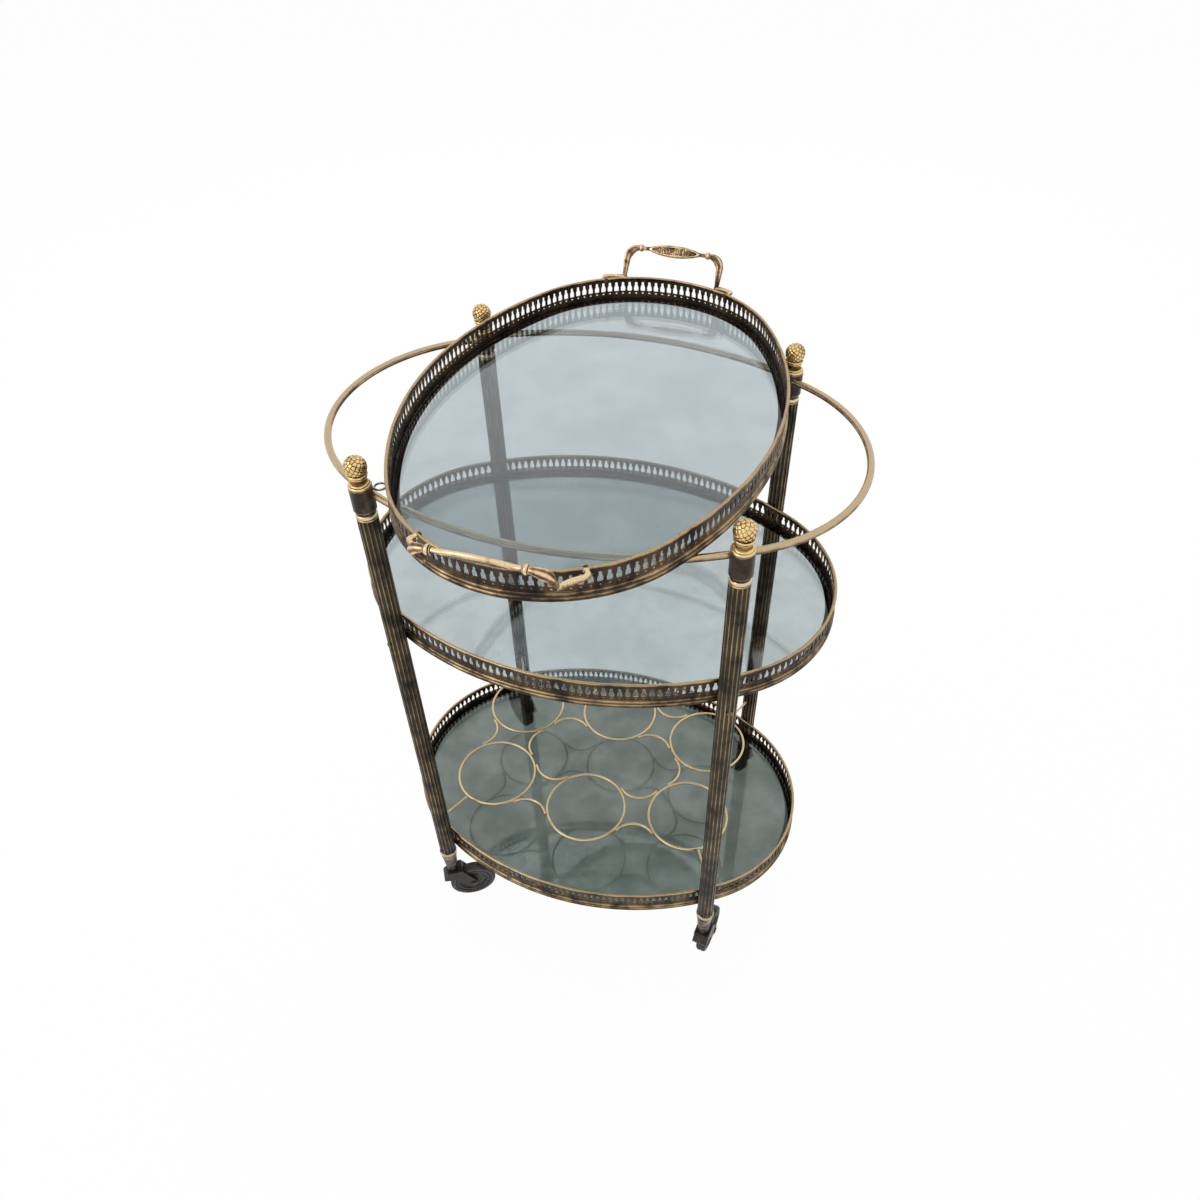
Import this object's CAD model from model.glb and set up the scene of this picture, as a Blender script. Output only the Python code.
import math

import bmesh
import bpy
from mathutils import Matrix, Vector, geometry, noise


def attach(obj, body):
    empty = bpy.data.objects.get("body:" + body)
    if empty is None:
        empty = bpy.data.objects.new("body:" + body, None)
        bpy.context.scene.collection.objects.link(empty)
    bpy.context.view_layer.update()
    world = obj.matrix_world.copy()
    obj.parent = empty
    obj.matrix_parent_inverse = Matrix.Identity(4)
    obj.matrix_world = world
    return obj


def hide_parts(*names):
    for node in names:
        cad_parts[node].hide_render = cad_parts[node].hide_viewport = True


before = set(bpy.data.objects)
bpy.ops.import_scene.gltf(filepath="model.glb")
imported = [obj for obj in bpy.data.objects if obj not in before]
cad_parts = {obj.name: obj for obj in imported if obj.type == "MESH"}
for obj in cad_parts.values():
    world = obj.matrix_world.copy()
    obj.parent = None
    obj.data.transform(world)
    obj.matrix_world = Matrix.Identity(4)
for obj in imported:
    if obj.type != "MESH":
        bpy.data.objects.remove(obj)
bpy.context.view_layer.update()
scene = bpy.context.scene
unit = 0.001  # sizes below are in millimetres, and meshes in metres
turn = 2 * math.pi
wireSides = 14  # facets round a thin wire
print("frame loaded:", len(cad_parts), "nodes")

# Sizes shared by several pieces
ovalSizes = {
    "halfLength": 262.0,
    "halfWidth": 185.5,
    "endRadius": 153.0,
    "endHoles": 39,  # pierced holes along each end arc
    "sideHoles": 52,  # and along each side arc
    "trayStretch": 7.0,  # the tray's end arcs stand further apart
    "trayGrow": -3.545,
}
shelves = {"middleZ": 511.5, "bottomZ": 116.5}
corners = {"fl": (-1, -1), "fr": (1, -1), "bl": (-1, 1), "br": (1, 1)}


def ovalOf(stretch=0.0, grow=0.0):
    # four-arc oval, stretched lengthwise and then grown all round
    size = ovalSizes
    endX = size["halfLength"] - size["endRadius"] + stretch
    wide, small = size["halfWidth"], size["endRadius"]
    long = (endX**2 + wide**2 - small**2) / (2 * (wide - small))
    return {
        "endX": endX,
        "endRadius": small + grow,
        "sideRadius": long + grow,
        "sideY": long - wide,
        "join": math.atan2(long - wide, endX),
    }


shelfOval = ovalOf()
trayOval = ovalOf(ovalSizes["trayStretch"], ovalSizes["trayGrow"])

columnSizes = {
    "inset": 26.6,  # along the band from a side arc's end
    "standOff": 12.3,  # from the band's outside to a column's axis
    "ridgeRadius": 10.2,
    "boreRadius": 7.2,
    "flutes": 14,
    "fluteRadius": 1.7,
    "fluteCentre": 10.7,
    "footZ": 115.0,
    "topZ": 680.5,
}
columnTurn = math.pi / 2 - shelfOval["join"] - columnSizes["inset"] / shelfOval["sideRadius"]
columnReach = shelfOval["sideRadius"] + columnSizes["standOff"]
columnX = columnReach * math.sin(columnTurn)
columnY = columnReach * math.cos(columnTurn) - shelfOval["sideY"]


def atCorner(corner):
    # a corner's own axes, mirrored from the back right one
    alongX, alongY = corners[corner]
    place = Matrix.Translation((alongX * columnX, alongY * columnY, 0))
    return place @ Matrix.Diagonal((alongX, alongY, 1, 1))


# Mesh parts: a part is its points, its faces and the wear at each point
def joined(parts):
    verts, faces, wear = [], [], []
    for partVerts, partFaces, partWear in parts:
        start = len(verts)
        verts.extend(partVerts)
        wear.extend(partWear)
        faces.extend(tuple(start + i for i in face) for face in partFaces)
    return verts, faces, wear


def placed(part, matrix):
    verts, faces, wear = part
    return [tuple(matrix @ Vector(v)) for v in verts], faces, wear


def skin(rings, closedAlong=False):
    # rings of (x, y, z, wear), each joined to the next
    count = len(rings[0])
    total = len(rings)
    verts = [p[:3] for ring in rings for p in ring]
    wear = [p[3] for ring in rings for p in ring]
    faces = []
    for i in range(total if closedAlong else total - 1):
        here, there = i * count, ((i + 1) % total) * count
        for j in range(count):
            k = (j + 1) % count
            faces.append((here + j, here + k, there + k, there + j))
    if not closedAlong:
        faces.append(tuple(reversed(range(count))))
        faces.append(tuple((total - 1) * count + j for j in range(count)))
    return verts, faces, wear


def lathe(profile, sides=64, closed=False, shape=None):
    # profile of (radius, height, wear) turned about Z; shape adds to a radius and to its wear
    rings = []
    for radius, height, wear in profile:
        ring = []
        for j in range(sides):
            angle = turn * j / sides
            more, worn = shape(angle, radius, height) if shape else (0, 0)
            r = radius + more
            ring.append((r * math.cos(angle), r * math.sin(angle), height, wear + worn))
        rings.append(ring)
    return skin(rings, closedAlong=closed)


def topWear(normal):
    return 0.5 + 0.5 * normal.z


def tube(points, radius, sides=16, closed=False, wearOf=topWear):
    # round rod along points; radius is a number or a function of the share of its length
    path = [Vector(p) for p in points]
    count = len(path)
    tangents = []
    for i in range(count):
        before = path[i - 1] if i or closed else path[i]
        after = path[(i + 1) % count] if i < count - 1 or closed else path[i]
        tangents.append((after - before).normalized())
    up = Vector((0, 0, 1))
    if abs(tangents[0].z) > 0.95:
        up = Vector((1, 0, 0))
    up = (up - tangents[0] * up.dot(tangents[0])).normalized()
    rings = []
    for i, tangent in enumerate(tangents):
        up = (up - tangent * up.dot(tangent)).normalized()
        across = tangent.cross(up)
        r = radius(i / (count - 1)) if callable(radius) else radius
        ring = []
        for j in range(sides):
            angle = turn * j / sides
            normal = up * math.cos(angle) + across * math.sin(angle)
            point = path[i] + normal * r
            ring.append((point.x, point.y, point.z, wearOf(normal)))
        rings.append(ring)
    return skin(rings, closedAlong=closed)


def arcPoints(centre, radius, first, last, steps, z=0.0, whole=False):
    shares = range(steps) if whole else range(steps + 1)
    found = []
    for i in shares:
        angle = first + (last - first) * i / steps
        x = centre[0] + radius * math.cos(angle)
        y = centre[1] + radius * math.sin(angle)
        found.append((x, y, z))
    return found


def smoothLine(points, per=8):
    # Catmull-Rom line through the points
    found = []
    for i in range(len(points) - 1):
        a = Vector(points[max(i - 1, 0)])
        b = Vector(points[i])
        c = Vector(points[i + 1])
        d = Vector(points[min(i + 2, len(points) - 1)])
        for step in range(per):
            t = step / per
            square = (2 * a - 5 * b + 4 * c - d) * t * t
            cube = (3 * b - a - 3 * c + d) * t**3
            found.append(0.5 * (2 * b + (c - a) * t + square + cube))
    found.append(Vector(points[-1]))
    return found


def makePiece(name, part, finish, node, body="trolley", sharp=40):
    # one mesh that rides a body and takes a solid's place; sharp is in degrees
    verts, faces, wear = part
    mesh = bpy.data.meshes.new(name)
    mesh.from_pydata([tuple(c * unit for c in v) for v in verts], [], faces)
    mesh.attributes.new("wear", "FLOAT", "POINT").data.foreach_set("value", wear)
    shape = bmesh.new()
    shape.from_mesh(mesh)
    bmesh.ops.remove_doubles(shape, verts=shape.verts, dist=0.002 * unit)
    bmesh.ops.recalc_face_normals(shape, faces=shape.faces)
    for face in shape.faces:
        face.smooth = len(face.verts) < 5  # end caps and sheets stay flat
    limit = math.radians(sharp)
    for edge in shape.edges:
        near = edge.link_faces
        soft = len(near) == 2 and near[0].smooth and near[1].smooth
        edge.smooth = soft and edge.calc_face_angle() < limit
    shape.to_mesh(mesh)
    shape.free()
    mesh.materials.append(finishes[finish])
    piece = bpy.data.objects.new(name, mesh)
    scene.collection.objects.link(piece)
    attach(piece, body)
    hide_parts(node)


# Shader groups
def newGroup(name, inputs, outputs):
    group = bpy.data.node_groups.new(name, "ShaderNodeTree")
    for label, kind, value in inputs:
        socket = group.interface.new_socket(name=label, in_out="INPUT", socket_type=kind)
        socket.default_value = value
    for label, kind in outputs:
        group.interface.new_socket(name=label, in_out="OUTPUT", socket_type=kind)
    return group, group.nodes.new("NodeGroupInput"), group.nodes.new("NodeGroupOutput")


def feed(tree, value, socket):
    if isinstance(value, bpy.types.NodeSocket):
        tree.links.new(value, socket)
    else:
        socket.default_value = value


def maths(tree, operation, a, b=0.0):
    node = tree.nodes.new("ShaderNodeMath")
    node.operation = operation
    feed(tree, a, node.inputs[0])
    feed(tree, b, node.inputs[1])
    return node.outputs[0]


def smoothStep(tree, value, low, high, toLow=0.0, toHigh=1.0):
    node = tree.nodes.new("ShaderNodeMapRange")
    node.interpolation_type = "SMOOTHSTEP"
    labels = ("Value", "From Min", "From Max", "To Min", "To Max")
    for label, given in zip(labels, (value, low, high, toLow, toHigh)):
        feed(tree, given, node.inputs[label])
    return node.outputs["Result"]


def blendColors(tree, share, a, b):
    node = tree.nodes.new("ShaderNodeMix")
    node.data_type = "RGBA"
    for slot, given in ((0, share), (6, a), (7, b)):  # the factor and the two colours
        feed(tree, given, node.inputs[slot])
    return node.outputs[2]


def cloudOf(tree, scale, detail=4.0, stretch=None):
    place = tree.nodes.new("ShaderNodeTexCoord").outputs["Object"]
    if stretch:
        mapping = tree.nodes.new("ShaderNodeMapping")
        mapping.inputs["Scale"].default_value = stretch
        tree.links.new(place, mapping.inputs["Vector"])
        place = mapping.outputs["Vector"]
    cloud = tree.nodes.new("ShaderNodeTexNoise")
    tree.links.new(place, cloud.inputs["Vector"])
    feed(tree, scale, cloud.inputs["Scale"])
    cloud.inputs["Detail"].default_value = detail
    cloud.inputs["Roughness"].default_value = 0.6
    return cloud.outputs["Fac"]


def makeAgedGroup():
    # tarnish in the hollows, bare metal on the high edges, dark specks over both
    group, given, result = newGroup(
        "agedBrass",
        [
            ("Bare", "NodeSocketColor", (0.7, 0.55, 0.32, 1)),
            ("Tarnish", "NodeSocketColor", (0.2, 0.14, 0.08, 1)),
            ("Grime", "NodeSocketColor", (0.03, 0.02, 0.012, 1)),
            ("Wear", "NodeSocketFloat", 0.0),
            ("Cloud Scale", "NodeSocketFloat", 60.0),
            ("Speck Scale", "NodeSocketFloat", 700.0),
            ("Specks", "NodeSocketFloat", 0.4),
        ],
        [
            ("Color", "NodeSocketColor"),
            ("Polish", "NodeSocketFloat"),
            ("Height", "NodeSocketFloat"),
        ],
    )
    painted = group.nodes.new("ShaderNodeAttribute")
    painted.attribute_name = "wear"
    cloud = cloudOf(group, given.outputs["Cloud Scale"], 6.0)
    fine = cloudOf(group, given.outputs["Speck Scale"], 3.0)
    swing = maths(group, "MULTIPLY", maths(group, "SUBTRACT", cloud, 0.5), 1.3)
    level = maths(group, "ADD", painted.outputs["Fac"], given.outputs["Wear"])
    polish = smoothStep(group, maths(group, "ADD", level, swing), 0.3, 0.85)
    stain = smoothStep(group, cloud, 0.35, 0.62)
    under = blendColors(group, stain, given.outputs["Grime"], given.outputs["Tarnish"])
    metal = blendColors(group, polish, under, given.outputs["Bare"])
    speckle = smoothStep(group, fine, 0.56, 0.68)
    dots = maths(group, "MULTIPLY", speckle, given.outputs["Specks"])
    color = blendColors(group, dots, metal, given.outputs["Grime"])
    swell, pits = maths(group, "MULTIPLY", cloud, 0.4), maths(group, "MULTIPLY", dots, 0.6)
    height = maths(group, "SUBTRACT", swell, pits)
    for label, made in (("Color", color), ("Polish", polish), ("Height", height)):
        group.links.new(made, result.inputs[label])
    return group


def makeDustGroup():
    # dust that settles on faces that look up
    group, given, result = newGroup(
        "settledDust",
        [("Scale", "NodeSocketFloat", 40.0), ("Level", "NodeSocketFloat", 0.5)],
        [("Mask", "NodeSocketFloat")],
    )
    facing = group.nodes.new("ShaderNodeSeparateXYZ")
    surface = group.nodes.new("ShaderNodeNewGeometry")
    group.links.new(surface.outputs["Normal"], facing.inputs[0])
    upward = smoothStep(group, facing.outputs["Z"], 0.1, 0.9)
    patchy = smoothStep(group, cloudOf(group, given.outputs["Scale"], 8.0), 0.38, 0.66)
    settled = maths(group, "MULTIPLY", upward, patchy)
    mask = maths(group, "MULTIPLY", settled, given.outputs["Level"])
    group.links.new(mask, result.inputs["Mask"])
    return group


def makeGrainGroup():
    # fine drawn lines along Z, with a slow ripple under them
    group, given, result = newGroup(
        "drawnGrain",
        [("Scale", "NodeSocketFloat", 900.0), ("Ripple", "NodeSocketFloat", 0.3)],
        [("Height", "NodeSocketFloat")],
    )
    lines = cloudOf(group, given.outputs["Scale"], 2.0, stretch=(1, 1, 0.04))
    ripple = maths(group, "MULTIPLY", cloudOf(group, 120.0, 2.0), given.outputs["Ripple"])
    group.links.new(maths(group, "ADD", lines, ripple), result.inputs["Height"])
    return group


agedGroup = makeAgedGroup()
dustGroup = makeDustGroup()
grainGroup = makeGrainGroup()


def placeGroup(tree, group, values):
    node = tree.nodes.new("ShaderNodeGroup")
    node.node_tree = group
    for label, value in values.items():
        node.inputs[label].default_value = value
    return node


def newMaterial(name):
    material = bpy.data.materials.new(name)
    material.use_nodes = True
    tree = material.node_tree
    return material, tree, tree.nodes["Principled BSDF"]


def placeAged(tree, look, bare, tarnish):
    values = {
        "Bare": (*look[bare], 1),
        "Tarnish": (*look[tarnish], 1),
        "Grime": (*look["grime"], 1),
        "Wear": look["wear"],
        "Cloud Scale": look["cloudScale"],
        "Speck Scale": look["speckScale"],
        "Specks": look["specks"],
    }
    return placeGroup(tree, agedGroup, values)


def addRelief(tree, shader, height, strength, distance):
    relief = tree.nodes.new("ShaderNodeBump")
    relief.inputs["Strength"].default_value = strength
    relief.inputs["Distance"].default_value = distance
    tree.links.new(height, relief.inputs["Height"])
    tree.links.new(relief.outputs["Normal"], shader.inputs["Normal"])


def brassFinish(name, look):
    material, tree, shader = newMaterial(name)
    aged = placeAged(tree, look, "bare", "tarnish")
    grain = placeGroup(tree, grainGroup, {"Scale": look["grainScale"]})
    color = aged.outputs["Color"]
    if look["dust"]:
        dust = placeGroup(tree, dustGroup, {"Scale": 55.0, "Level": look["dust"]})
        color = blendColors(tree, dust.outputs["Mask"], color, (*look["dustColor"], 1))
    tree.links.new(color, shader.inputs["Base Color"])
    polish = aged.outputs["Polish"]
    shine = smoothStep(tree, polish, 0.0, 1.0, look["dullRoughness"], look["bareRoughness"])
    tree.links.new(shine, shader.inputs["Roughness"])
    metal = smoothStep(tree, polish, 0.0, 0.7, look["dullMetal"], 1.0)
    tree.links.new(metal, shader.inputs["Metallic"])
    lines = maths(tree, "MULTIPLY", grain.outputs["Height"], 0.35)
    height = maths(tree, "ADD", aged.outputs["Height"], lines)
    addRelief(tree, shader, height, look["bump"], 0.0003)
    return material


def glassFinish(name, look):
    material, tree, shader = newMaterial(name)
    smear = cloudOf(tree, look["smearScale"], 8.0)
    dust = placeGroup(tree, dustGroup, {"Scale": look["dustScale"], "Level": 1.0})
    smear = smoothStep(tree, smear, 0.3, 0.7)
    tint = blendColors(tree, smear, (*look["deep"], 1), (*look["clear"], 1))
    speckle = smoothStep(tree, cloudOf(tree, look["speckScale"], 4.0), 0.6, 0.75)
    speckle = maths(tree, "MULTIPLY", speckle, look["specks"])
    tint = blendColors(tree, speckle, tint, (*look["speckColor"], 1))
    tree.links.new(tint, shader.inputs["Base Color"])
    haze = maths(tree, "MULTIPLY", dust.outputs["Mask"], look["haze"])
    tree.links.new(maths(tree, "ADD", haze, look["roughness"]), shader.inputs["Roughness"])
    shader.inputs["Transmission Weight"].default_value = 1.0
    shader.inputs["IOR"].default_value = look["ior"]
    addRelief(tree, shader, cloudOf(tree, look["waveScale"], 2.0), look["bump"], 0.0005)
    path = tree.nodes.new("ShaderNodeLightPath")
    passed = maths(tree, "MULTIPLY", path.outputs["Is Shadow Ray"], look["lampThrough"])
    tree.links.new(maths(tree, "SUBTRACT", 1.0, passed), shader.inputs["Alpha"])
    return material


def paintFinish(name, look):
    material, tree, shader = newMaterial(name)
    aged = placeAged(tree, look, "edge", "face")
    dust = placeGroup(tree, dustGroup, {"Scale": 70.0, "Level": look["dust"]})
    settled = (*look["dustColor"], 1)
    color = blendColors(tree, dust.outputs["Mask"], aged.outputs["Color"], settled)
    tree.links.new(color, shader.inputs["Base Color"])
    rough = look["roughness"]
    shine = smoothStep(tree, aged.outputs["Polish"], 0.0, 1.0, rough, rough - 0.15)
    tree.links.new(shine, shader.inputs["Roughness"])
    shader.inputs["Metallic"].default_value = look["metallic"]
    addRelief(tree, shader, aged.outputs["Height"], look["bump"], 0.0004)
    return material


# Finishes
brassBase = {
    "bare": (0.74, 0.58, 0.33),
    "tarnish": (0.2, 0.14, 0.075),
    "grime": (0.035, 0.024, 0.015),
    "wear": 0.0,
    "cloudScale": 70.0,
    "speckScale": 800.0,
    "specks": 0.4,
    "grainScale": 900.0,
    "dullRoughness": 0.42,
    "bareRoughness": 0.24,
    "dullMetal": 0.75,
    "bump": 0.25,
    "dust": 0.0,
    "dustColor": (0.32, 0.3, 0.26),
}
brassLooks = {
    "columnBrass": {
        "bare": (0.36, 0.27, 0.145),
        "tarnish": (0.06, 0.043, 0.024),
        "grime": (0.014, 0.01, 0.007),
        "wear": -0.45,
        "cloudScale": 32.0,
        "specks": 0.5,
    },
    "collarBrass": {"wear": -0.12, "tarnish": (0.14, 0.08, 0.045)},
    "sleeveBrass": {
        "bare": (0.27, 0.2, 0.14),
        "tarnish": (0.07, 0.047, 0.033),
        "grime": (0.024, 0.016, 0.011),
        "wear": -0.1,
        "cloudScale": 55.0,
        "dullRoughness": 0.34,
    },
    "finialBrass": {
        "bare": (0.84, 0.6, 0.27),
        "tarnish": (0.26, 0.145, 0.05),
        "grime": (0.03, 0.015, 0.006),
        "wear": -0.12,
        "speckScale": 1100.0,
        "bareRoughness": 0.16,
    },
    "hoopBrass": {
        "bare": (0.56, 0.42, 0.25),
        "tarnish": (0.17, 0.1, 0.052),
        "grime": (0.045, 0.026, 0.014),
        "wear": -0.08,
        "cloudScale": 26.0,
    },
    "galleryBrass": {
        "bare": (0.5, 0.35, 0.18),
        "tarnish": (0.085, 0.054, 0.03),
        "grime": (0.018, 0.012, 0.008),
        "wear": -0.3,
        "cloudScale": 45.0,
        "specks": 0.5,
    },
    "holderBrass": {
        "bare": (0.72, 0.54, 0.29),
        "tarnish": (0.24, 0.14, 0.06),
        "grime": (0.07, 0.04, 0.02),
        "wear": 0.05,
        "cloudScale": 60.0,
        "specks": 0.2,
    },
    "ferruleBrass": {
        "bare": (0.5, 0.4, 0.27),
        "tarnish": (0.16, 0.12, 0.085),
        "grime": (0.04, 0.028, 0.02),
        "wear": -0.1,
        "cloudScale": 80.0,
        "dust": 0.25,
    },
    "handleBrass": {
        "bare": (0.82, 0.61, 0.36),
        "tarnish": (0.25, 0.135, 0.062),
        "grime": (0.035, 0.019, 0.01),
        "wear": -0.14,
        "cloudScale": 110.0,
        "bareRoughness": 0.18,
        "specks": 0.25,
    },
    "screwBrass": {"wear": 0.2, "tarnish": (0.22, 0.15, 0.08)},
    "eyeletBrass": {
        "bare": (0.42, 0.4, 0.36),
        "tarnish": (0.12, 0.1, 0.08),
        "grime": (0.02, 0.017, 0.014),
        "wear": -0.1,
    },
    "axleSteel": {
        "bare": (0.5, 0.49, 0.46),
        "tarnish": (0.14, 0.12, 0.1),
        "grime": (0.05, 0.035, 0.025),
        "wear": 0.3,
    },
}
finishes = {name: brassFinish(name, {**brassBase, **look}) for name, look in brassLooks.items()}

glassBase = {
    "clear": (0.41, 0.465, 0.48),
    "deep": (0.35, 0.405, 0.42),
    "speckColor": (0.3, 0.35, 0.35),
    "smearScale": 9.0,
    "dustScale": 26.0,
    "speckScale": 120.0,
    "specks": 0.25,
    "waveScale": 12.0,
    "haze": 0.03,
    "roughness": 0.008,
    "ior": 1.52,
    "bump": 0.01,
    "lampThrough": 0.75,  # share of the lamps' light that passes
}
glassLooks = {
    "trayGlassTint": {},
    "middleGlassTint": {
        "clear": (0.42, 0.475, 0.49),
        "deep": (0.34, 0.39, 0.385),
        "speckColor": (0.3, 0.34, 0.32),
        "smearScale": 12.0,
        "dustScale": 30.0,
        "speckScale": 160.0,
        "specks": 0.4,
        "waveScale": 16.0,
        "haze": 0.04,
        "roughness": 0.01,
        "bump": 0.012,
    },
    "bottomGlassTint": {
        "clear": (0.14, 0.17, 0.15),
        "deep": (0.07, 0.092, 0.08),
        "speckColor": (0.1, 0.12, 0.105),
        "smearScale": 20.0,
        "dustScale": 45.0,
        "speckScale": 90.0,
        "specks": 0.4,
        "waveScale": 22.0,
        "haze": 0.06,
        "roughness": 0.02,
        "ior": 1.56,
        "bump": 0.02,
        "lampThrough": 0.6,
    },
}
for name, look in glassLooks.items():
    finishes[name] = glassFinish(name, {**glassBase, **look})

paintBase = {
    "edge": (0.16, 0.13, 0.11),
    "face": (0.028, 0.021, 0.018),
    "grime": (0.012, 0.009, 0.008),
    "dustColor": (0.1, 0.085, 0.075),
    "wear": -0.25,
    "cloudScale": 130.0,
    "speckScale": 900.0,
    "specks": 0.3,
    "dust": 0.45,
    "roughness": 0.42,
    "metallic": 0.35,
    "bump": 0.35,
}
paintLooks = {
    "casterBlack": {},
    "wheelBlack": {
        "edge": (0.11, 0.1, 0.09),
        "face": (0.03, 0.026, 0.024),
        "grime": (0.012, 0.01, 0.009),
        "dustColor": (0.12, 0.105, 0.095),
        "cloudScale": 150.0,
        "speckScale": 1000.0,
        "dust": 0.4,
        "roughness": 0.5,
        "metallic": 0.0,
        "bump": 0.3,
    },
    "tyreBlack": {
        "edge": (0.1, 0.095, 0.09),
        "face": (0.022, 0.02, 0.019),
        "grime": (0.01, 0.009, 0.008),
        "dustColor": (0.17, 0.155, 0.14),
        "wear": -0.2,
        "cloudScale": 120.0,
        "speckScale": 1300.0,
        "dust": 0.6,
        "roughness": 0.62,
        "metallic": 0.0,
        "bump": 0.5,
    },
}
for name, look in paintLooks.items():
    finishes[name] = paintFinish(name, {**paintBase, **look})
print("finishes made:", len(finishes))

# Camera, floor and light
camera = {
    "place": (0.2411, -0.7586, 1.2262),
    "azimuth": 15.127,
    "elevation": 43.068,
    "roll": -0.144,
    "focal": 942.49,  # in pixels of a 1200 pixel frame
    "middle": (629.43, 596.37),
}
studio = {
    "worldStrength": 0.55,
    "backLamp": {"place": (-0.5, 2.0, 2.7), "size": 2.6, "energy": 60.0, "mirrored": False},
    "frontLamp": {"place": (-1.9, -1.9, 2.3), "size": 2.0, "energy": 20.0, "mirrored": True},
    "floorSize": 14.0,
    "floorColor": (0.93, 0.93, 0.93, 1),
    "floorGlow": 0.97,
}


def makeCamera():
    azimuth, elevation, roll = (math.radians(camera[k]) for k in ("azimuth", "elevation", "roll"))
    flat = math.cos(elevation)
    back = Vector((math.sin(azimuth) * flat, -math.cos(azimuth) * flat, math.sin(elevation)))
    level = (-back).cross(Vector((0, 0, 1))).normalized()
    upright = level.cross(-back)
    right = level * math.cos(roll) + upright * math.sin(roll)
    up = upright * math.cos(roll) - level * math.sin(roll)
    data = bpy.data.cameras.new("photoCamera")
    data.sensor_width = 36.0
    data.lens = 36.0 * camera["focal"] / 1200
    data.shift_x = -(camera["middle"][0] - 600) / 1200
    data.shift_y = (camera["middle"][1] - 600) / 1200
    data.clip_start, data.clip_end = 0.01, 100.0
    holder = bpy.data.objects.new("photoCamera", data)
    facing = Matrix((right, up, back)).transposed().to_4x4()
    holder.matrix_world = Matrix.Translation(camera["place"]) @ facing
    scene.collection.objects.link(holder)
    scene.camera = holder


def makeLamp(name, look):
    data = bpy.data.lights.new(name, "AREA")
    data.size = look["size"]
    data.energy = look["energy"]
    lamp = bpy.data.objects.new(name, data)
    lamp.location = look["place"]
    aim = Vector((0, 0, 0.4)) - Vector(look["place"])
    lamp.rotation_euler = aim.to_track_quat("-Z", "Y").to_euler()
    lamp.visible_camera = False
    lamp.visible_glossy = look["mirrored"]
    scene.collection.objects.link(lamp)


def seenRay(tree):
    # 1 for what the camera, a gloss or glass shows, 0 for what lights the object
    path = tree.nodes.new("ShaderNodeLightPath")
    seen = maths(tree, "MAXIMUM", path.outputs["Is Camera Ray"], path.outputs["Is Glossy Ray"])
    return maths(tree, "MAXIMUM", seen, path.outputs["Is Transmission Ray"])


def makeStudio():
    world = bpy.data.worlds.new("softBox")
    scene.world = world
    world.use_nodes = True
    tree = world.node_tree
    background = tree.nodes["Background"]
    background.inputs["Color"].default_value = (1, 1, 1, 1)
    rest = maths(tree, "SUBTRACT", 1.0, seenRay(tree))
    dim = maths(tree, "MULTIPLY", rest, 1.0 - studio["worldStrength"])
    tree.links.new(maths(tree, "SUBTRACT", 1.0, dim), background.inputs["Strength"])

    half = studio["floorSize"] / 2
    mesh = bpy.data.meshes.new("floor")
    outline = [(-half, -half, 0), (half, -half, 0), (half, half, 0), (-half, half, 0)]
    mesh.from_pydata(outline, [], [(0, 1, 2, 3)])
    material, tree, shader = newMaterial("floorPaper")
    shader.inputs["Base Color"].default_value = studio["floorColor"]
    shader.inputs["Roughness"].default_value = 0.95
    shader.inputs["Specular IOR Level"].default_value = 0.1
    glow = tree.nodes.new("ShaderNodeEmission")
    mix = tree.nodes.new("ShaderNodeMixShader")
    share = maths(tree, "MULTIPLY", seenRay(tree), studio["floorGlow"])
    tree.links.new(share, mix.inputs[0])
    tree.links.new(shader.outputs["BSDF"], mix.inputs[1])
    tree.links.new(glow.outputs["Emission"], mix.inputs[2])
    tree.links.new(mix.outputs["Shader"], tree.nodes["Material Output"].inputs["Surface"])
    mesh.materials.append(material)
    floor = bpy.data.objects.new("floor", mesh)
    scene.collection.objects.link(floor)
    makeLamp("backLamp", studio["backLamp"])
    makeLamp("frontLamp", studio["frontLamp"])


makeCamera()
makeStudio()
scene.view_settings.view_transform = "Standard"
print("camera and studio made")

# Galleries and glass
gallery = {
    "bandThickness": 1.2,
    "bandLow": 0.2,
    "beadRadius": 1.7,
    "beadZ": 31.3,
    "footBeadRadius": 2.5,
    "footBeads": (2.5, 7.25),
    "stepZ": 10.35,
    "stepRadius": 0.55,
    "ledge": (1.0, 2.2),
    "ledgeReach": 8.2,
    "rimWidth": 0.45,  # bright stamped edge round each hole
    "dotZ": 13.3,
    "dotHalf": (1.25, 0.85),
}
bottleHole = [
    (1.7, 16.0), (2.35, 16.3), (2.6, 17.0), (2.6, 20.4), (2.45, 21.3), (2.05, 22.1),
    (1.6, 22.8), (1.4, 23.6), (1.4, 25.9), (1.2, 26.6), (0.6, 27.0),
]


def ovalArcs(shape):
    # centre, radius, first angle, sweep and number of holes of each arc, outside of the band
    join = shape["join"]
    endX, sideY = shape["endX"], shape["sideY"]
    small = (shape["endRadius"], 2 * join, ovalSizes["endHoles"])
    long = (shape["sideRadius"], math.pi - 2 * join, ovalSizes["sideHoles"])
    middles = (
        (endX, 0, -join, small),
        (0, -sideY, join, long),
        (-endX, 0, math.pi - join, small),
        (0, sideY, math.pi + join, long),
    )
    return [(x, y, radius, first, sweep, holes) for x, y, first, (radius, sweep, holes) in middles]


def aroundOval(shape, section, perHole=2):
    # closed section of (offset, height, wear) carried round the oval
    rings = []
    for x, y, radius, first, sweep, holes in ovalArcs(shape):
        steps = holes * perHole
        for i in range(steps):
            angle = first + sweep * i / steps
            c, s = math.cos(angle), math.sin(angle)
            rings.append(
                [(x + (radius + o) * c, y + (radius + o) * s, z, w) for o, z, w in section]
            )
    return skin(rings, closedAlong=True)


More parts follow.
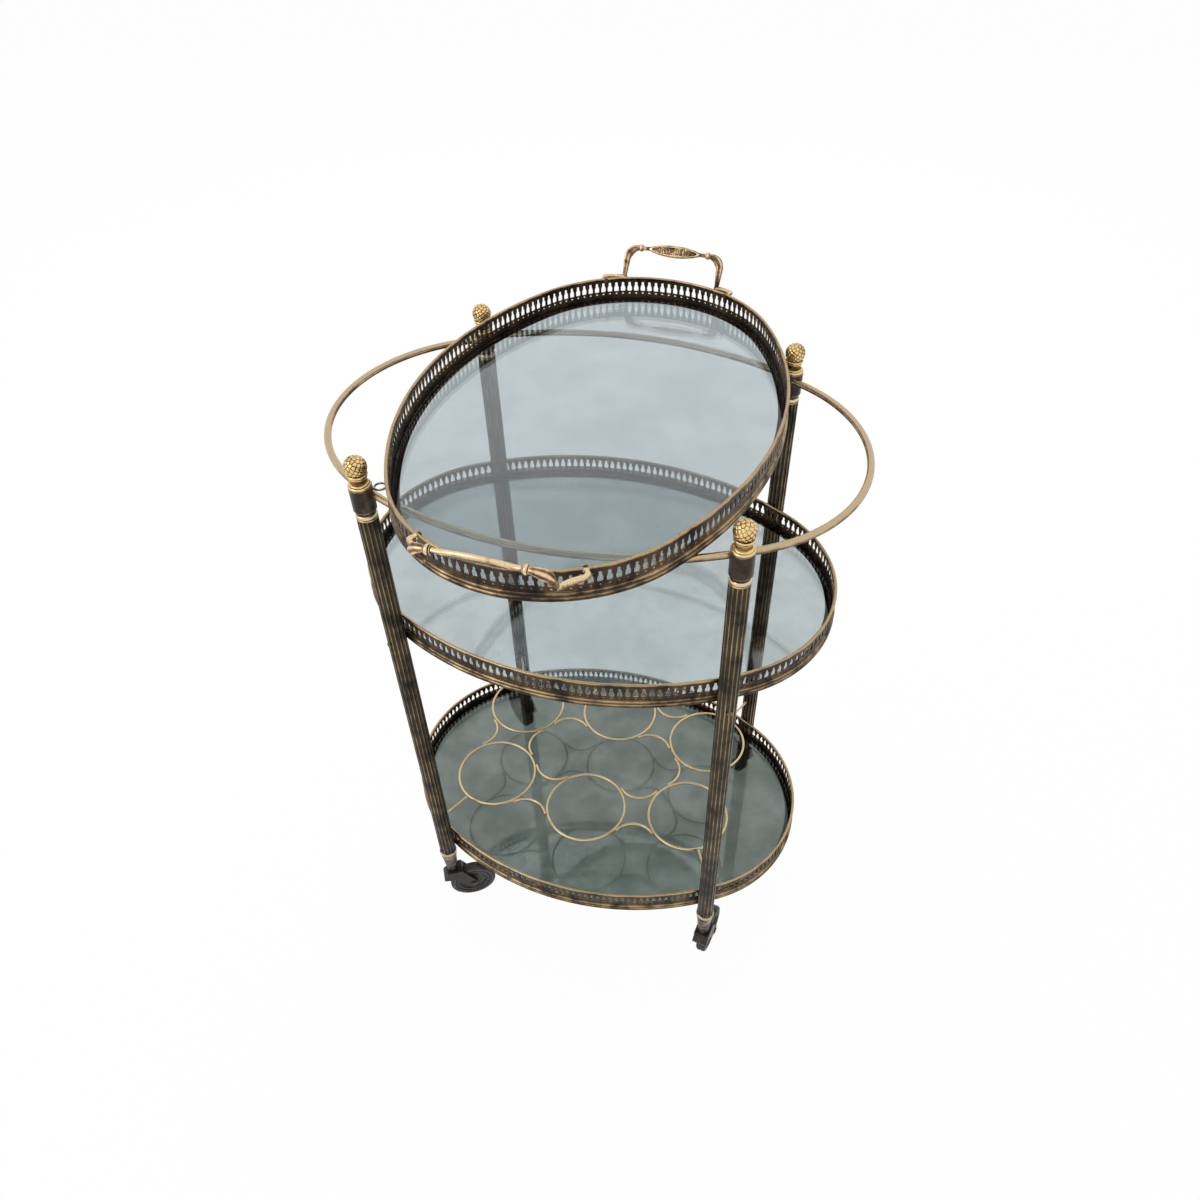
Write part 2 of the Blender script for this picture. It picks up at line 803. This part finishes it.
def grown(loop, more):
    # loop of flat points moved outwards
    found = []
    for i, point in enumerate(loop):
        before, after = Vector(loop[i - 1]), Vector(loop[(i + 1) % len(loop)])
        along = (after - before).normalized()
        found.append((point[0] + along.y * more, point[1] - along.x * more))
    return found


def bandPattern(width):
    # one pitch of the band laid flat: points with wear, triangles and open rims
    low, high = gallery["bandLow"], gallery["beadZ"]
    half = width / 2
    bottle = [(-x, z) for x, z in reversed(bottleHole)]
    bottle = [(x, z) for x, z in bottleHole] + bottle
    steps = 12
    wide, tall = gallery["dotHalf"]
    angles = [turn * i / steps for i in range(steps)]
    dot = [(wide * math.cos(a), gallery["dotZ"] + tall * math.sin(a)) for a in angles]
    wide = grown(bottle, gallery["rimWidth"])
    wideDot = grown(dot, 0.3)
    outer = [(-half, low), (half, low), (half, high), (-half, high)]
    loops = [outer, wide, wideDot]
    flat = [[Vector((x, z, 0)) for x, z in loop] for loop in loops]
    triangles = [tuple(t) for t in geometry.tessellate_polygon(flat)]
    points = [(x, z, 0.34) for x, z in outer]
    points += [(x, z, 0.42) for x, z in wide + wideDot]
    rims = [(0, 1), (2, 3)]
    start = len(outer)
    for inside, first in ((bottle, start), (dot, start + len(wide))):
        base = len(points)
        points += [(x, z, 0.8) for x, z in inside]
        count = len(inside)
        for i in range(count):
            j = (i + 1) % count
            triangles.append((first + i, first + j, base + j, base + i))
            rims.append((base + i, base + j))
    return points, triangles, rims


def bandPart(shape):
    verts, faces, wear = [], [], []
    for x0, y0, radius, first, sweep, holes in ovalArcs(shape):
        points, triangles, rims = bandPattern(radius * sweep / holes)
        count = len(points)
        for i in range(holes):
            middle = first + sweep * (i + 0.5) / holes
            start = len(verts)
            for offset in (0.0, -gallery["bandThickness"]):
                for x, z, w in points:
                    angle = middle + x / radius
                    reach = radius + offset
                    verts.append((x0 + reach * math.cos(angle), y0 + reach * math.sin(angle), z))
                    wear.append(w)
            for corner in triangles:
                faces.append(tuple(start + k for k in corner))
                faces.append(tuple(start + count + k for k in reversed(corner)))
            for a, b in rims:
                faces.append((start + a, start + b, start + count + b, start + count + a))
    return verts, faces, wear


def roundSection(centre, radius, first, last, steps, wears):
    # arc of a section from the first to the last angle, most worn at its top
    found = []
    for i in range(steps + 1):
        angle = math.radians(first + (last - first) * i / steps)
        c, s = math.cos(angle), math.sin(angle)
        wear = wears[0] + (wears[1] - wears[0]) * (0.5 + 0.5 * s)
        found.append((centre[0] + radius * c, centre[1] + radius * s, wear))
    return found


def galleryPart(shape):
    half = gallery["bandThickness"] / 2
    bead = roundSection(
        (-half, gallery["beadZ"]), gallery["beadRadius"], 0, 360 - 22.5, 15, (0.05, 1.25)
    )
    foot = [(-half, 0.1, 0.1), (0.6, 0.1, 0.1)]
    for z in gallery["footBeads"]:
        foot += roundSection((-0.5, z), gallery["footBeadRadius"], -62, 62, 8, (0.0, 1.0))
    foot += [(0.1, 9.75, 0.2)]
    foot += roundSection((0.0, gallery["stepZ"]), gallery["stepRadius"], -60, 90, 4, (0.2, 0.9))
    foot += [(-half, gallery["stepZ"] + gallery["stepRadius"], 0.2)]
    low, high = gallery["ledge"]
    reach = -gallery["ledgeReach"]
    ledge = [
        (-0.9, low, 0.1),
        (reach + 0.3, low, 0.3),
        (reach, low + 0.3, 0.7),
        (reach, high - 0.3, 0.7),
        (reach + 0.3, high, 0.5),
        (-0.9, high, 0.1),
    ]
    return joined(
        [
            bandPart(shape),
            aroundOval(shape, bead, 3),
            aroundOval(shape, foot, 3),
            aroundOval(shape, ledge, 2),
        ]
    )


glassSizes = {"inset": 1.7, "low": 2.2, "high": 8.2, "edge": 0.9}


def glassPart(shape):
    # flat sheet with a ground round edge
    low, high, edge = glassSizes["low"], glassSizes["high"], glassSizes["edge"]
    inset = -glassSizes["inset"]
    section = []
    for i in range(5):
        angle = math.pi / 2 * i / 4
        section.append((inset - edge + edge * math.sin(angle), low + edge - edge * math.cos(angle)))
    section += [(o, high + low - z) for o, z in reversed(section)]
    rings = []
    for o, z in section:
        ring = []
        for x, y, radius, first, sweep, holes in ovalArcs(shape):
            steps = holes * 2
            for i in range(steps):
                angle = first + sweep * i / steps
                ring.append(
                    (x + (radius + o) * math.cos(angle), y + (radius + o) * math.sin(angle), z, 0.5)
                )
        rings.append(ring)
    return skin(rings)


traySizes = {"x": 2.0, "y": 10.5, "z": 711.6, "turn": 88.1}
onTray = Matrix.Translation((traySizes["x"], traySizes["y"], traySizes["z"])) @ Matrix.Rotation(
    math.radians(traySizes["turn"]), 4, "Z"
)
levels = {
    "middle": (Matrix.Translation((0, 0, shelves["middleZ"])), "trolley", shelfOval),
    "bottom": (Matrix.Translation((0, 0, shelves["bottomZ"])), "trolley", shelfOval),
    "tray": (onTray, "tray", trayOval),
}
for level, (matrix, body, shape) in levels.items():
    band, sheet = placed(galleryPart(shape), matrix), placed(glassPart(shape), matrix)
    node, slot = level + "_gallery", "gallery_brass"
    makePiece(level + "Gallery", band, "galleryBrass", node, body, sharp=35)
    tint = level + "GlassTint"
    makePiece(level + "GlassSheet", sheet, tint, level + "_glass", body, sharp=30)
print("galleries and glass made")

# Columns, collars, sleeves, finials, eyelets
def columnSection():
    # ridges and flutes round a column: angle, radius, wear
    size = columnSizes
    pitch = turn / size["flutes"]
    ridge, centre, scoop = size["ridgeRadius"], size["fluteCentre"], size["fluteRadius"]
    reach = math.acos((ridge**2 + centre**2 - scoop**2) / (2 * ridge * centre))
    found = []
    for i in range(size["flutes"]):
        for share in (-0.94, -0.75, -0.4, 0.0, 0.4, 0.75, 0.94):
            angle = share * reach
            rise = math.sqrt(scoop**2 - (centre * math.sin(angle)) ** 2)
            deep = centre * math.cos(angle) - rise
            found.append((i * pitch + angle, deep, 0.75 * share**4))
        gap = pitch - 2 * reach
        for share in (0.12, 0.5, 0.88):
            lift = ridge - (0.06 if share != 0.5 else 0)
            found.append((i * pitch + reach + gap * share, lift, 1.0))
    return found


def columnPart():
    section = columnSection()
    size = columnSizes
    low, high = size["footZ"], size["topZ"]
    rings = []
    steps = 6
    for i in range(steps + 1):
        z = low + (high - low) * i / steps
        rings.append([(r * math.cos(a), r * math.sin(a), z, w) for a, r, w in section])
    bore = size["boreRadius"]
    for z in (high, low):
        rings.append([(bore * math.cos(a), bore * math.sin(a), z, 0.0) for a, _, _ in section])
    return skin(rings, closedAlong=True)


def lobes(count, depth):
    # shallow upright facets
    def shape(angle, radius, height):
        wave = 0.5 + 0.5 * math.cos(count * angle)
        return -depth * (1 - wave), 0.12 * wave

    return shape


collarProfile = [
    (7.3, 680.5, 0.0), (10.1, 680.5, 0.2), (10.2, 680.9, 0.6), (10.2, 681.7, 0.9),
    (9.7, 682.2, 0.1), (9.9, 682.6, 0.4), (10.2, 683.3, 0.9), (10.2, 684.4, 1.2),
    (9.9, 685.4, 1.3), (9.4, 686.1, 0.9), (8.8, 686.5, 0.2), (7.3, 686.5, 0.0),
]
sleeveProfile = [
    (7.1, 667.0, 0.0), (7.1, 686.6, 0.0), (9.3, 686.6, 0.1), (9.3, 689.6, 0.0),
    (9.9, 690.0, 0.5), (10.6, 690.2, 0.7), (11.0, 690.8, 0.8), (11.0, 692.0, 0.3),
    (11.0, 714.4, 0.3), (10.95, 715.4, 0.7), (10.5, 716.0, 0.9), (3.0, 716.0, 0.2),
    (3.0, 703.0, 0.0), (0.3, 703.0, 0.0),
]
flangeProfile = [
    (2.8, -12.0, 0.2), (2.8, 0.0, 0.2), (9.6, 0.02, 0.3), (10.5, 0.25, 0.6), (11.0, 0.9, 0.9),
    (11.0, 1.5, 1.1), (10.6, 2.2, 1.2), (9.9, 2.6, 0.9), (9.3, 2.7, 0.2), (9.5, 3.2, 0.8),
    (9.3, 3.9, 1.1), (8.6, 4.3, 0.8), (7.3, 4.8, 0.4), (6.5, 5.8, 0.3), (6.2, 7.0, 0.5),
    (6.5, 8.2, 0.7), (7.4, 9.1, 0.6), (8.4, 9.7, 0.9), (8.8, 10.4, 1.1), (8.5, 11.1, 0.6),
    (8.3, 11.4, 0.0), (8.9, 11.8, 0.6), (9.4, 12.5, 1.1), (9.45, 13.3, 1.3), (9.1, 13.9, 1.0),
    (8.6, 14.1, 0.1), (8.0, 14.2, 0.0),
]
finialZ = 716.0
ballSizes = {"radius": 10.5, "rise": 21.0, "knobs": 92, "groove": 0.85, "sides": 112, "rows": 52}


def knobPoints(count):
    golden = math.pi * (3 - math.sqrt(5))
    found = []
    for i in range(count):
        z = 1 - 2 * (i + 0.5) / count
        flat = math.sqrt(1 - z * z)
        found.append(Vector((flat * math.cos(i * golden), flat * math.sin(i * golden), z)))
    return found


def ballPart():
    # cast ball covered with small knobs in a spiral
    size = ballSizes
    knobs = knobPoints(size["knobs"])
    rings = []
    low = math.acos(-0.66)
    for i in range(size["rows"] + 1):
        polar = low * (1 - i / size["rows"]) + 0.03
        ring = []
        for j in range(size["sides"]):
            angle = turn * j / size["sides"]
            flat = math.sin(polar)
            out = Vector((flat * math.cos(angle), flat * math.sin(angle), math.cos(polar)))
            nearest = sorted((out - knob).length for knob in knobs)[:2]
            edge = min(1.0, (nearest[1] - nearest[0]) / 0.12)
            swell = edge * (2 - edge)
            r = size["radius"] - size["groove"] * (1 - swell)
            point = out * r
            ring.append((point.x, point.y, point.z + size["rise"], 0.95 * swell))
        rings.append(ring)
    return skin(rings)


def finialPart():
    stand = Matrix.Translation((0, 0, finialZ))
    return placed(joined([lathe(flangeProfile, 72), ballPart()]), stand)


def sleevePart():
    facets = lobes(16, 0.03)

    def shape(angle, radius, height):
        return facets(angle, radius, height) if radius > 10.9 else (0, 0)

    return lathe(sleeveProfile, 128, shape=shape)


upright = {
    "column": (columnPart(), 50),
    "sleeve": (sleevePart(), 40),
    "finial": (finialPart(), 60),
}
for corner in corners:
    for kind, (part, sharp) in upright.items():
        name, node = kind + corner.capitalize(), kind + "_" + corner
        part = placed(part, atCorner(corner))
        makePiece(name, part, kind + "Brass", node, sharp=sharp)
collar = lathe(collarProfile, 72, closed=True)
collars = joined([placed(collar, atCorner(c)) for c in corners])
makePiece("beadCollars", collars, "collarBrass", "bead_collars")

eyelet = {"wire": 1.1, "ring": 5.4, "out": 17.5, "z": 709.1, "angle": 221.84}


def eyeletPart():
    line = arcPoints((eyelet["out"], 0), eyelet["ring"], 0, turn, 40, whole=True)
    ring = tube(line, eyelet["wire"], wireSides, True)
    stub = tube([(10.4, 0, 0), (11.4, 0, 0), (12.6, 0, 0)], lambda t: 1.7 - 0.6 * t, wireSides)
    place = Matrix.Translation((0, 0, eyelet["z"])) @ Matrix.Rotation(
        math.radians(eyelet["angle"]), 4, "Z"
    )
    return placed(joined([ring, stub]), place)


eyelets = joined([placed(eyeletPart(), atCorner(c)) for c in ("fl", "br")])
makePiece("sleeveEyelets", eyelets, "eyeletBrass", "sleeve_eyelets")
print("columns, sleeves and finials made")

# Hoop
hoop = {
    "z": 708.0,
    "halfLength": 270.4,
    "halfWidth": 190.6,
    "rod": 3.56,
    "inset": 6.0,
    "endGap": 4.2,
}
bowReach = hoop["halfLength"] + hoop["inset"]
cornerSquare = columnX**2 + columnY**2
bowX = (bowReach**2 - cornerSquare) / (2 * (bowReach - columnX))
bowRadius = hoop["halfLength"] - bowX
bowAngle = math.atan2(columnY, columnX - bowX)
railReach = hoop["halfWidth"] + hoop["inset"]
railY = (cornerSquare - railReach**2) / (2 * (railReach - columnY))
railRadius = hoop["halfWidth"] + railY
railAngle = math.atan2(columnX, columnY + railY)


def hoopWear(normal):
    return 0.55 + 0.6 * normal.z


def bowPart(side):
    sweep = bowAngle - math.asin(hoop["endGap"] / bowRadius)
    middle = 0 if side > 0 else math.pi
    ends = middle - sweep, middle + sweep
    points = arcPoints((side * bowX, 0), bowRadius, *ends, 110, hoop["z"])
    return tube(points, hoop["rod"], 24, wearOf=hoopWear)


def railPart(side):
    sweep = railAngle - math.asin(hoop["endGap"] / railRadius)
    middle = side * math.pi / 2
    ends = middle - sweep, middle + sweep
    points = arcPoints((0, -side * railY), railRadius, *ends, 90, hoop["z"])
    return tube(points, hoop["rod"], 24, wearOf=hoopWear)


rods = {
    "hoopFrontRail": (railPart(-1), "hoop_front_rail"),
    "hoopBackRail": (railPart(1), "hoop_back_rail"),
    "hoopLeftBow": (bowPart(-1), "hoop_left_bow"),
    "hoopRightBow": (bowPart(1), "hoop_right_bow"),
}
for name, (part, node) in rods.items():
    makePiece(name, part, "hoopBrass", node)
print("hoop made")

# Bottle holder
holder = {
    "z": 186.5,
    "wire": 1.5,
    "ring": 50.5,
    "cornerX": 131.0,
    "cornerY": 62.0,
    "middleY": 83.0,
    "shift": -4.0,  # the rings sit a little to the front
    "link": 28.0,
    "linkTail": 3.0,
    "gap": 0.3,
    "depth": 2.5,  # how far the tie wires enter the columns
    "braze": 1.5,
    "tieBraze": 1.9,
}


def wireWear(normal):
    return 0.42 + 0.75 * normal.z


def blob(centre, radius, wear=0.5):
    rings = []
    # small rounded lump of braze, a little flattened
    for i in range(9):
        polar = 0.08 + (math.pi - 0.16) * i / 8
        ring = []
        for j in range(wireSides):
            angle = turn * j / wireSides
            x = centre[0] + radius * math.sin(polar) * math.cos(angle)
            y = centre[1] + radius * math.sin(polar) * math.sin(angle)
            ring.append((x, y, centre[2] + 0.8 * radius * math.cos(polar), wear))
        rings.append(ring)
    return skin(rings)


def holderPart():
    x, y, mid, move = holder["cornerX"], holder["cornerY"], holder["middleY"], holder["shift"]
    centres = [(-x, -y), (0, -mid), (x, -y), (x, y), (0, mid), (-x, y)]
    centres = [Vector((cx, cy + move)) for cx, cy in centres]
    wire, z = holder["wire"], holder["z"]
    parts = []
    for centre in centres:
        line = arcPoints(centre, holder["ring"], 0, turn, 96, z, whole=True)
        parts.append(tube(line, wire, wireSides, True, wireWear))
    touch = holder["ring"] + holder["link"] + 2 * wire + holder["gap"]
    for i, a in enumerate(centres):
        b = centres[(i + 1) % len(centres)]
        along = (b - a).normalized()
        half = (b - a).length / 2
        rise = math.sqrt(touch**2 - half**2)
        sweep = math.atan2(half, rise)
        tail = math.radians(holder["linkTail"])
        for side in (-1, 1):
            across = Vector((-along.y, along.x)) * side
            middle = (a + b) / 2 + across * rise
            face = math.atan2(-across.y, -across.x)
            ends = face - sweep - tail, face + sweep + tail
            line = arcPoints(middle, holder["link"], *ends, 36, z)
            parts.append(tube(line, wire, wireSides, wearOf=wireWear))
            for end in (-1, 1):
                angle = face + end * sweep
                reach = holder["link"] + wire + holder["gap"] / 2
                spot = middle + Vector((math.cos(angle), math.sin(angle))) * reach
                parts.append(blob((*spot, z), holder["braze"]))
    for alongX, alongY in corners.values():
        start = Vector((alongX * x, alongY * y + move))
        goal = Vector((alongX * columnX, alongY * columnY))
        along = (goal - start).normalized()
        first = start + along * (holder["ring"] + 0.4)
        last = goal - along * (columnSizes["ridgeRadius"] - holder["depth"])
        line = [(*(first.lerp(last, i / 6)), z) for i in range(7)]
        parts.append(tube(line, wire, wireSides, wearOf=wireWear))
        parts.append(blob((*(first + along * 1.2), z), holder["tieBraze"]))
    return joined(parts)


makePiece("bottleHolder", holderPart(), "holderBrass", "bottle_holder")
print("bottle holder made")

# Tray handles
handle = {
    "gripOut": 21.0,
    "gripRise": 56.5,
    "lean": 32.0,
    "ringSpan": 40.0,
    "ringWidth": 3.6,
    "leafLength": 36.5,
    "leafHeight": 7.0,
    "leafThickness": 2.7,
    "bend": 14.0,
    "drop": 34.0,
    "seatSpan": 72.0,
    "seatZ": 31.3,
    "elbowOut": 7.0,
}


def leafPart():
    # pointed grip with a sunk oval panel of stippled dots on both faces
    length, tall, thick = handle["leafLength"], handle["leafHeight"], handle["leafThickness"]
    rows, sides = 96, 56
    rings = []
    for i in range(rows + 1):
        y = -length + 2 * length * i / rows
        share = abs(y) / length
        high = max(2.3, tall * (1 - share**2.1))
        deep = 2.0 + (thick - 2.0) * (1 - share**2)
        ring = []
        for j in range(sides):
            angle = turn * j / sides
            c, s = math.cos(angle), math.sin(angle)
            x = deep * math.copysign(abs(c) ** 0.7, c)
            z = high * math.copysign(abs(s) ** 0.85, s)
            wear = 0.55 + 0.5 * abs(s) ** 3
            inside = 1 - ((y / (0.74 * length)) ** 2 + (z / (0.62 * tall)) ** 2)
            if inside > 0 and abs(c) > 0.2:
                sunk = min(1.0, inside / 0.16)
                dot = noise.noise(Vector((y * 0.9, z * 1.1, math.copysign(7, c))))
                x -= math.copysign(0.55 * sunk - 0.45 * sunk * max(0, dot) * 1.8, c)
                wear = 0.2 + sunk * max(0.0, dot) * 2.2
            elif -0.22 < inside <= 0:
                wear = 1.15
            ring.append((x, y, z, wear))
        rings.append(ring)
    return skin(rings)


knobProfile = [
    (1.4, -2.2, 0.3), (2.1, -1.9, 0.8), (2.6, -1.2, 1.1), (2.7, 0.0, 1.2),
    (2.6, 1.2, 1.1), (2.1, 1.9, 0.8), (1.4, 2.2, 0.3),
]
washerProfile = [
    (1.2, 0, 0.3), (2.6, 0.0, 0.5), (2.8, 0.4, 1.0), (2.5, 0.9, 1.0), (1.2, 1.1, 0.4),
]


def ringProfile():
    # pair of thin collars beside a wide one
    half = handle["ringWidth"] / 2
    return [
        (2.2, -half - 1.3, 0.2),
        (3.0, -half - 1.1, 0.7),
        (3.3, -half - 0.6, 1.0),
        (3.0, -half - 0.1, 0.3),
        (3.4, -half + 0.1, 0.3),
        (4.1, -half + 0.6, 0.9),
        (4.4, -0.5, 1.2),
        (4.4, 0.5, 1.2),
        (4.1, half - 0.6, 0.9),
        (3.4, half - 0.1, 0.3),
        (3.0, half + 0.1, 0.3),
        (3.3, half + 0.6, 1.0),
        (3.0, half + 1.1, 0.7),
        (2.2, half + 1.3, 0.2),
    ]


def carved(points, radiusOf, ribs, sides=30, upward=Vector((0, 0, 1))):
    # round arm along points with leaf ribs that fade at its ends
    path = [Vector(p) for p in points]
    count = len(path)
    rings = []
    up = upward
    for i in range(count):
        tangent = (path[min(i + 1, count - 1)] - path[max(i - 1, 0)]).normalized()
        up = (up - tangent * up.dot(tangent)).normalized()
        across = tangent.cross(up)
        share = i / (count - 1)
        fade = math.sin(math.pi * share) ** 0.8 if 0 < share < 1 else 0.0
        ring = []
        for j in range(sides):
            angle = turn * j / sides
            wave = math.cos(ribs * angle)
            r = radiusOf(share) + 0.34 * fade * wave
            normal = up * math.cos(angle) + across * math.sin(angle)
            point = path[i] + normal * r
            wear = 0.5 + 0.25 * normal.z + 0.4 * wave * fade
            ring.append((point.x, point.y, point.z, wear))
        rings.append(ring)
    return skin(rings)


def armRadius(share):
    if share < 0.4:
        return 2.7 + 2.0 * math.sin(math.pi / 2 * share / 0.4) ** 1.3
    fall = (share - 0.4) / 0.6
    return 4.7 - 2.3 * fall**0.9


def footRadius(share):
    return 2.2 + 0.9 * max(0.0, math.sin(math.pi * min(1.0, share / 0.9))) ** 2


def handlePart():
    # leaf grip, its rings, and on each side an arm, a foot and the foot's seat on the band
    gripX = trayOval["endX"] + trayOval["endRadius"] + handle["gripOut"]
    lean = Matrix.Translation((gripX, 0, handle["gripRise"]))
    lean @= Matrix.Rotation(math.radians(handle["lean"]), 4, "Y")
    armY = handle["ringSpan"] + handle["ringWidth"] / 2 + handle["bend"]
    parts = [placed(leafPart(), lean)]
    seatAngle = math.asin(handle["seatSpan"] / trayOval["endRadius"])
    for side in (-1, 1):
        ring = lathe(ringProfile(), 40)
        stand = Matrix.Translation((0, side * handle["ringSpan"], 0))
        stand @= Matrix.Rotation(math.pi / 2, 4, "X")
        parts.append(placed(ring, lean @ stand))
        bend = handle["bend"]
        line = [(0, side * (handle["ringSpan"] + 1.0), 0)]
        for i in range(25):
            c, s = math.cos(math.pi / 2 * i / 24), math.sin(math.pi / 2 * i / 24)
            line.append((0, side * (armY - bend + bend * s), -bend + bend * c))
        for i in range(1, 17):
            line.append((0, side * armY, -bend - (handle["drop"] - bend) * i / 16))
        arm = carved(line, armRadius, 5, upward=Vector((1, 0, 0)))
        parts.append(placed(arm, lean))
        tip = lean @ Vector((0, side * armY, -handle["drop"]))
        out = Vector((math.cos(seatAngle), side * math.sin(seatAngle), 0))
        seat = Vector((trayOval["endX"], 0, handle["seatZ"]))
        seat += out * (trayOval["endRadius"] + 0.9)
        elbow = seat + out * handle["elbowOut"]
        before = lean @ Vector((0, side * armY, -handle["drop"] + 3.0))
        heel = tip + Vector((0.6, 0, -0.9))
        foot = smoothLine([before, heel, tip.lerp(elbow, 0.45), elbow, seat], 10)
        parts.append(tube(foot, footRadius, 20, wearOf=lambda n: 0.55 + 0.5 * n.z))
        parts.append(blob(tuple(tip + Vector((0.4, 0, -0.8))), 3.1, 0.7))
        outward = Vector((out.x, out.y, 0)).to_track_quat("Z", "Y").to_matrix().to_4x4()
        for profile, spot in ((knobProfile, elbow - out * 1.2), (washerProfile, seat + out * 0.2)):
            parts.append(placed(lathe(profile, 28), Matrix.Translation(spot) @ outward))
    return joined(parts)


handleShape = handlePart()
for name, node, spin in (
    ("trayHandleBack", "tray_handle_back", 0.0),
    ("trayHandleFront", "tray_handle_front", math.pi),
):
    part = placed(handleShape, onTray @ Matrix.Rotation(spin, 4, "Z"))
    makePiece(name, part, "handleBrass", node, "tray", sharp=55)
print("tray handles made")

# Ferrules and casters
ferruleProfile = [
    (4.1, 84.0, 0.0), (8.0, 84.0, 0.2), (8.4, 84.4, 0.8), (8.5, 87.0, 0.4), (8.8, 92.0, 0.4),
    (9.3, 98.0, 0.45), (9.7, 102.6, 0.5), (10.0, 103.4, 0.9), (10.3, 104.4, 0.6),
    (10.3, 108.6, 0.6), (9.9, 109.3, 0.1), (10.4, 109.8, 0.6), (11.05, 110.8, 0.9),
    (11.3, 112.3, 1.2), (11.1, 113.7, 1.25), (10.6, 114.6, 1.1), (9.9, 115.0, 0.5),
    (7.1, 115.0, 0.0), (7.1, 129.0, 0.0), (4.1, 129.0, 0.0),
]
wheelProfile = [
    (2.56, -7.5, 0.2), (5.2, -7.5, 0.9), (5.8, -7.1, 1.0), (6.2, -5.0, 0.3), (6.6, -3.3, 0.1),
    (8.0, -2.6, 0.3), (13.0, -2.5, 0.3), (13.5, -3.1, 0.9), (14.6, -3.1, 0.9),
    (15.1, -2.5, 0.3), (18.4, -2.6, 0.2), (19.2, -3.2, 0.3), (19.6, -5.0, 0.7),
    (20.1, -5.5, 1.0), (21.9, -5.5, 0.7),
]
tyreProfile = [
    (22.0, -6.2, 0.3), (23.4, -6.5, 0.7), (24.6, -6.1, 0.1), (26.2, -6.45, 0.9),
    (27.6, -6.45, 1.0), (29.0, -6.1, 0.4), (30.2, -5.2, 0.3), (30.85, -3.9, 0.4),
    (31.0, -2.4, 0.5), (31.0, -1.0, 0.5), (30.5, -0.6, 0.0),
]
casterSizes = {
    "trail": 24.0,
    "wheelRadius": 31.0,
    "headings": {"fl": 30.0, "fr": 81.0, "bl": 140.0, "br": 140.0},
}


def bothSides(profile):
    return profile + [(r, -z, w) for r, z, w in reversed(profile)]


def atAxle(corner):
    alongX, alongY = corners[corner]
    return (
        Matrix.Translation((alongX * columnX, alongY * columnY, 0))
        @ Matrix.Rotation(math.radians(casterSizes["headings"][corner]), 4, "Z")
        @ Matrix.Translation((casterSizes["trail"], 0, casterSizes["wheelRadius"]))
        @ Matrix.Rotation(math.pi / 2, 4, "X")
    )


ferrule = lathe(ferruleProfile, 72, closed=True)
rolling = {
    "wheel": (lathe(bothSides(wheelProfile), 72, closed=True), 40),
    "tyre": (lathe(bothSides(tyreProfile), 96, closed=True), 50),
}
for corner in corners:
    title = corner.capitalize()
    part = placed(ferrule, atCorner(corner))
    makePiece("ferrule" + title, part, "ferruleBrass", "ferrule_" + corner)
    for kind, (part, sharp) in rolling.items():
        part, node = placed(part, atAxle(corner)), kind + "_" + corner
        body, slot = "wheel_set_" + corner, kind + "_black"
        makePiece(kind + title, part, kind + "Black", node, body, sharp=sharp)


def dressNode(node, finish, bevel=0.0):
    # a CAD node keeps its shape; welding and a narrow bevel soften its edges
    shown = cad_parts[node]
    shown.data.materials.clear()
    shown.data.materials.append(finishes[finish])
    if bevel:
        weld = shown.modifiers.new("weld", "WELD")
        weld.merge_threshold = 0.01 * unit
        soft = shown.modifiers.new("softEdges", "BEVEL")
        soft.width = bevel * unit
        soft.segments = 2
        soft.limit_method = "ANGLE"
        soft.angle_limit = math.radians(35)
        soft.harden_normals = True


for corner in corners:
    dressNode("caster_hood_" + corner, "casterBlack", 0.5)
    dressNode("axle_" + corner, "axleSteel", 0.25)
for node in ("shelf_screws", "handle_rivets"):
    dressNode(node, "screwBrass", 0.15)
print("ferrules and casters made")
